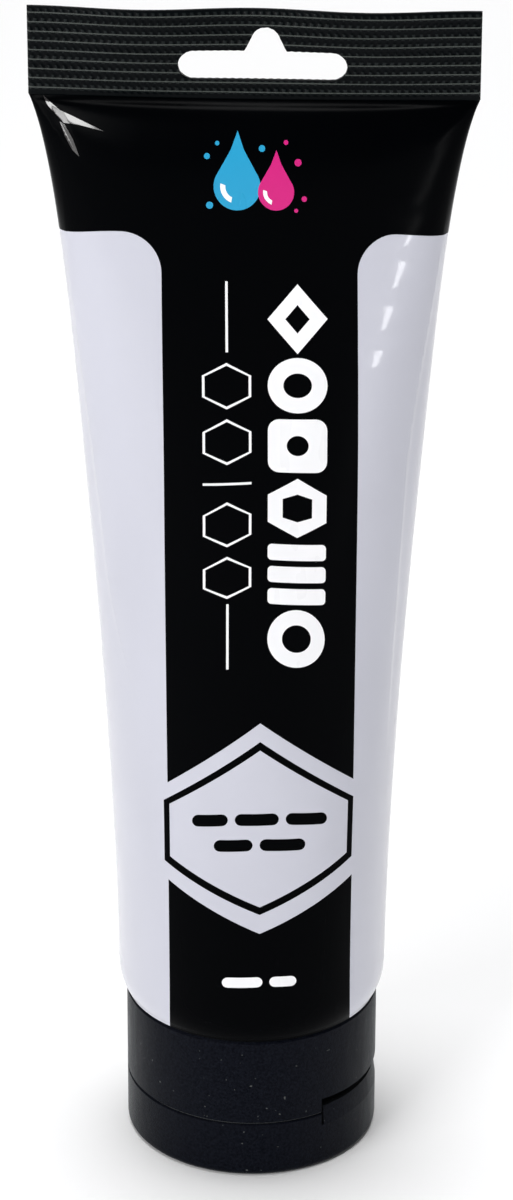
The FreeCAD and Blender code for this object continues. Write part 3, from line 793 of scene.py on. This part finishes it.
def make_band(name, near, far, low, high):
    """Moulded band of the hinge with a notch at the split, where it bends."""
    heights = [*np.linspace(low, SPLIT - 0.9, 6), *np.linspace(SPLIT - 0.8, SPLIT + 0.8, 33),
               *np.linspace(SPLIT + 0.9, high, 6)]
    verts, steps = [], 20
    for z in heights:
        notch = math.sqrt(max(0.0, NOTCH ** 2 - (z - SPLIT) ** 2))
        end = min(1.0, (min(z - low, high - z) + 0.06) / 0.3) ** 0.5
        thick = BAND_THICKNESS * (0.6 + 0.4 * end) - notch
        for k in range(steps):
            a = 2 * math.pi * k / steps
            c, sn = math.cos(a), math.sin(a)
            x = HINGE_FLAT + thick / 2 * (1 + math.copysign(abs(c) ** 0.35, c))
            y = (near + far) / 2 + (far - near) / 2 * math.copysign(abs(sn) ** 0.35, sn)
            verts.append((x * math.cos(HINGE_TURN) - y * math.sin(HINGE_TURN),
                          x * math.sin(HINGE_TURN) + y * math.cos(HINGE_TURN), z))
    faces = []
    for j in range(len(heights) - 1):
        here, above = j * steps, (j + 1) * steps
        faces += [(here + k, here + (k + 1) % steps, above + (k + 1) % steps, above + k) for k in range(steps)]
    faces += [tuple(range(steps))[::-1], tuple((len(heights) - 1) * steps + k for k in range(steps))]
    obj = new_object(name, verts, faces, [cap_plastic])
    x, y = (HINGE_FLAT + 0.1) * math.cos(HINGE_TURN) * MM, (HINGE_FLAT + 0.1) * math.sin(HINGE_TURN) * MM
    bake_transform(obj)
    return obj


for name, near, far in (("strap_left", -4.5, -2.3), ("strap_right", 2.3, 4.5), ("snap_spring", -1.5, 1.5)):
    (_, _, low), (_, _, high) = box_mm("hinge_" + name)
    band = make_band("hinge_" + name + "_band", near, far, low, high)
    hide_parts("hinge_" + name)


# ======================================================================= carried-over CAD nodes

for name, mat in (("cap_base", cap_plastic), ("cap_lid", cap_plastic), ("tube_head", head_plastic),
                  ("paint_fill", paint), ("foil_seal", foil), ("foil_pull_tab", tab_film)):
    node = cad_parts[name]
    node.data.materials.clear()
    node.data.materials.append(mat)


# ======================================================================= stage, light and camera

def make_floor():
    """Pale round floor, so wide that its edge lies at the horizon."""
    radii, turns = (0.0, 400.0, 1200.0, 4000.0, 20000.0), 48
    verts = [(0.0, 0.0, 0.0)]
    for r in radii[1:]:
        verts += [(r * math.cos(2 * math.pi * k / turns), r * math.sin(2 * math.pi * k / turns), 0.0)
                  for k in range(turns)]
    faces = [(0, 1 + k, 1 + (k + 1) % turns) for k in range(turns)]
    for ring in range(len(radii) - 2):
        inner, outer = 1 + ring * turns, 1 + (ring + 1) * turns
        faces += [(inner + k, outer + k, outer + (k + 1) % turns, inner + (k + 1) % turns)
                  for k in range(turns)]
    mat, tree, shader = material("pale_floor", (0.89, 0.89, 0.895), 0.6, Specular_IOR_Level=0.2)
    mottle = remap(tree, noise(tree, 3, 2), 0.3, 0.7, 0.57, 0.63)
    tree.links.new(mottle, shader.inputs["Roughness"])
    return new_object("floor", verts, faces, [mat])


make_floor()


def area_light(name, place, target, width, height, power):
    light = bpy.data.lights.new(name, "AREA")
    light.shape = "RECTANGLE"
    light.size, light.size_y = width, height
    light.energy = power
    obj = bpy.data.objects.new(name, light)
    obj.location = place
    obj.rotation_euler = (Vector(target) - Vector(place)).to_track_quat("-Z", "Y").to_euler()
    obj.visible_camera = False
    bpy.context.scene.collection.objects.link(obj)


area_light("key_left", (-0.60, -0.50, 0.42), (0, 0, 0.10), 0.30, 0.45, 2.1)
area_light("window_left", (-0.29, -0.46, 0.50), (-0.025, 0, 0.161), 0.13, 0.30, 1.0)
area_light("window_right", (0.274, -0.313, 0.096), (0.02, -0.008, 0.138), 0.028, 0.135, 0.14)

sun = bpy.data.lights.new("soft_sky", "SUN")
sun.energy, sun.angle = 2.9, math.radians(34)
sun_object = bpy.data.objects.new("soft_sky", sun)
sun_object.rotation_euler = (math.radians(-7), math.radians(-1), 0)
bpy.context.scene.collection.objects.link(sun_object)

# sky: as bright as the floor at the horizon, and dim overhead
world = bpy.data.worlds.new("studio")
world.use_nodes = True
tree = world.node_tree
direction = tree.nodes.new("ShaderNodeTexCoord")
split = tree.nodes.new("ShaderNodeSeparateXYZ")
tree.links.new(direction.outputs["Generated"], split.inputs["Vector"])
tree.nodes["Background"].inputs["Color"].default_value = (1.0, 1.0, 1.0, 1)
brightness = remap(tree, split.outputs["Z"], 0.02, 0.22, 0.97, 0.13)
tree.links.new(brightness, tree.nodes["Background"].inputs["Strength"])
bpy.context.scene.world = world
bpy.context.scene.view_settings.view_transform = "Standard"

camera = bpy.data.cameras.new("camera")
camera.sensor_width = 36.0
camera.lens = 144.4
camera_object = bpy.data.objects.new("camera", camera)
tilt = Matrix.Rotation(math.radians(90 - 25.69), 3, "X") @ Matrix.Rotation(math.radians(0.18), 3, "Z")
camera_object.location = (0.00055, -0.6315, 0.3905)
camera_object.rotation_euler = tilt.to_euler()
bpy.context.scene.collection.objects.link(camera_object)
bpy.context.scene.camera = camera_object
